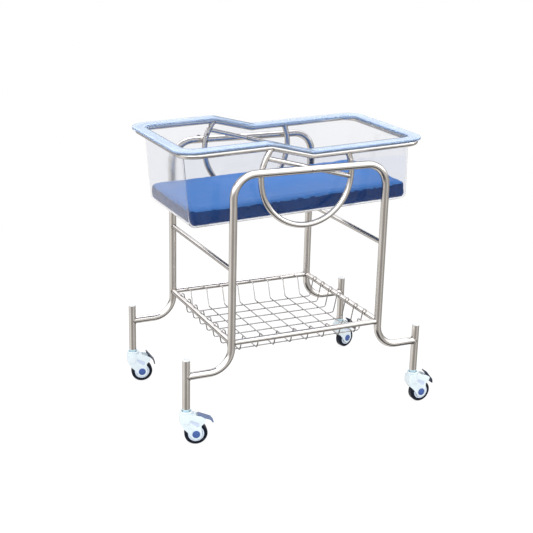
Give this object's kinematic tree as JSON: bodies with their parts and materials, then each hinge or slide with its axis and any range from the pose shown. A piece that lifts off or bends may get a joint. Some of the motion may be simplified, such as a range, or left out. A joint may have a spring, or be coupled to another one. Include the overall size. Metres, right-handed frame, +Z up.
{
  "type": "hospital bassinet",
  "caption": "Newborn bassinet: clear tub with mattress in a tilting steel cradle on a bent tube stand with wire basket and braked castors.",
  "frame": {"origin": "middle of the floor plane, halfway between the four castor posts", "axes": "+X along the length towards the low end of the tub, +Y across towards the rear, +Z up"},
  "size_m": [0.9495, 0.6194, 0.9568],
  "materials": {
    "steel": "bright brushed stainless steel",
    "cap_plastic": "white plug",
    "clear_plastic": "clear, faint blue",
    "mattress_cover": "wipe-clean blue cover",
    "knob_plastic": "black",
    "castor_plastic": "icy white",
    "hub_cap_plastic": "blue violet",
    "pedal_plastic": "blue grey",
    "tyre": "dark navy",
    "core_plastic": "white"
  },
  "bodies": {
    "stand": {"side_frame_front": "steel", "side_frame_rear": "steel", "post_front_left": "steel", "post_rear_left": "steel", "post_front_right": "steel", "post_rear_right": "steel", "post_cap_front_left": "cap_plastic", "post_cap_rear_left": "cap_plastic", "post_cap_front_right": "cap_plastic", "post_cap_rear_right": "cap_plastic", "basket_rail_front": "steel", "basket_rail_rear": "steel", "basket_rail_left": "steel", "basket_rail_right": "steel", "cross_bar_left": "steel", "cross_bar_right": "steel", "basket_long_wires": "steel", "basket_cross_wires": "steel", "pivot_bolts": "steel", "pivot_spacers": "steel", "pivot_nuts": "steel", "lock_housing": "steel", "front_left_castor_stem": "castor_plastic", "rear_left_castor_stem": "castor_plastic", "front_right_castor_stem": "castor_plastic", "rear_right_castor_stem": "castor_plastic"},
    "cradle": {"ring_tube": "steel", "hoop_front": "steel", "hoop_rear": "steel", "chord_front": "steel", "chord_rear": "steel"},
    "tub_body": {"tub": "clear_plastic"},
    "mattress_body": {"mattress": "mattress_cover"},
    "lock_plunger": {"lock_pin": "steel", "lock_knob": "knob_plastic"},
    "front_left_swivel_body": {"front_left_castor_shroud": "castor_plastic", "front_left_castor_axle": "steel", "front_left_castor_hub_caps": "hub_cap_plastic"},
    "front_left_wheel_body": {"front_left_castor_wheel_core": "core_plastic", "front_left_castor_tyre": "tyre"},
    "front_left_pedal_body": {"front_left_castor_brake_pedal": "pedal_plastic"},
    "rear_left_swivel_body": {"rear_left_castor_shroud": "castor_plastic", "rear_left_castor_axle": "steel", "rear_left_castor_hub_caps": "hub_cap_plastic"},
    "rear_left_wheel_body": {"rear_left_castor_wheel_core": "core_plastic", "rear_left_castor_tyre": "tyre"},
    "rear_left_pedal_body": {"rear_left_castor_brake_pedal": "pedal_plastic"},
    "front_right_swivel_body": {"front_right_castor_shroud": "castor_plastic", "front_right_castor_axle": "steel", "front_right_castor_hub_caps": "hub_cap_plastic"},
    "front_right_wheel_body": {"front_right_castor_wheel_core": "core_plastic", "front_right_castor_tyre": "tyre"},
    "front_right_pedal_body": {"front_right_castor_brake_pedal": "pedal_plastic"},
    "rear_right_swivel_body": {"rear_right_castor_shroud": "castor_plastic", "rear_right_castor_axle": "steel", "rear_right_castor_hub_caps": "hub_cap_plastic"},
    "rear_right_wheel_body": {"rear_right_castor_wheel_core": "core_plastic", "rear_right_castor_tyre": "tyre"},
    "rear_right_pedal_body": {"rear_right_castor_brake_pedal": "pedal_plastic"}
  },
  "joints": [
    {"name": "cradle_tilt", "type": "hinge", "parent": "stand", "child": "cradle", "pos_m": [0, 0, 0.87], "axis": [0, -1, 0], "range_deg": [0, 18.5]},
    {"name": "tub_lift", "type": "slide", "parent": "cradle", "child": "tub_body", "axis": [-0.0401, 0, 0.9992], "range_m": [0, 0.25]},
    {"name": "mattress_lift", "type": "slide", "parent": "tub_body", "child": "mattress_body", "axis": [-0.0401, 0, 0.9992], "range_m": [0, 0.26]},
    {"name": "tilt_lock", "type": "slide", "parent": "stand", "child": "lock_plunger", "axis": [0, -1, 0], "range_m": [0, 0.016]},
    {"name": "front_left_swivel", "type": "hinge", "parent": "stand", "child": "front_left_swivel_body", "pos_m": [-0.423, -0.267, 0.11], "axis": [0, 0, 1], "continuous": true},
    {"name": "front_left_wheel_spin", "type": "hinge", "parent": "front_left_swivel_body", "child": "front_left_wheel_body", "pos_m": [-0.39311, -0.27523, 0.0375], "axis": [0.2656, 0.9641, 0], "continuous": true},
    {"name": "front_left_brake", "type": "hinge", "parent": "front_left_swivel_body", "child": "front_left_pedal_body", "pos_m": [-0.36671, -0.28251, 0.0867], "axis": [0.2656, 0.9641, 0], "range_deg": [0, 30]},
    {"name": "rear_left_swivel", "type": "hinge", "parent": "stand", "child": "rear_left_swivel_body", "pos_m": [-0.423, 0.267, 0.11], "axis": [0, 0, 1], "continuous": true},
    {"name": "rear_left_wheel_spin", "type": "hinge", "parent": "rear_left_swivel_body", "child": "rear_left_wheel_body", "pos_m": [-0.39264, 0.26071, 0.0375], "axis": [0.2028, 0.9792, 0], "continuous": true},
    {"name": "rear_left_brake", "type": "hinge", "parent": "rear_left_swivel_body", "child": "rear_left_pedal_body", "pos_m": [-0.36583, 0.25516, 0.0867], "axis": [0.2028, 0.9792, 0], "range_deg": [-30, 0]},
    {"name": "front_right_swivel", "type": "hinge", "parent": "stand", "child": "front_right_swivel_body", "pos_m": [0.423, -0.267, 0.11], "axis": [0, 0, 1], "continuous": true},
    {"name": "front_right_wheel_spin", "type": "hinge", "parent": "front_right_swivel_body", "child": "front_right_wheel_body", "pos_m": [0.454, -0.26689, 0.0375], "axis": [-0.0035, 1, 0], "continuous": true},
    {"name": "front_right_brake", "type": "hinge", "parent": "front_right_swivel_body", "child": "front_right_pedal_body", "pos_m": [0.48139, -0.2668, 0.0867], "axis": [-0.0035, 1, 0], "range_deg": [-30, 0]},
    {"name": "rear_right_swivel", "type": "hinge", "parent": "stand", "child": "rear_right_swivel_body", "pos_m": [0.423, 0.267, 0.11], "axis": [0, 0, 1], "continuous": true},
    {"name": "rear_right_wheel_spin", "type": "hinge", "parent": "rear_right_swivel_body", "child": "rear_right_wheel_body", "pos_m": [0.45272, 0.2758, 0.0375], "axis": [-0.284, 0.9588, 0], "continuous": true},
    {"name": "rear_right_brake", "type": "hinge", "parent": "rear_right_swivel_body", "child": "rear_right_pedal_body", "pos_m": [0.47898, 0.28358, 0.0867], "axis": [-0.284, 0.9588, 0], "range_deg": [-30, 0]}
  ]
}
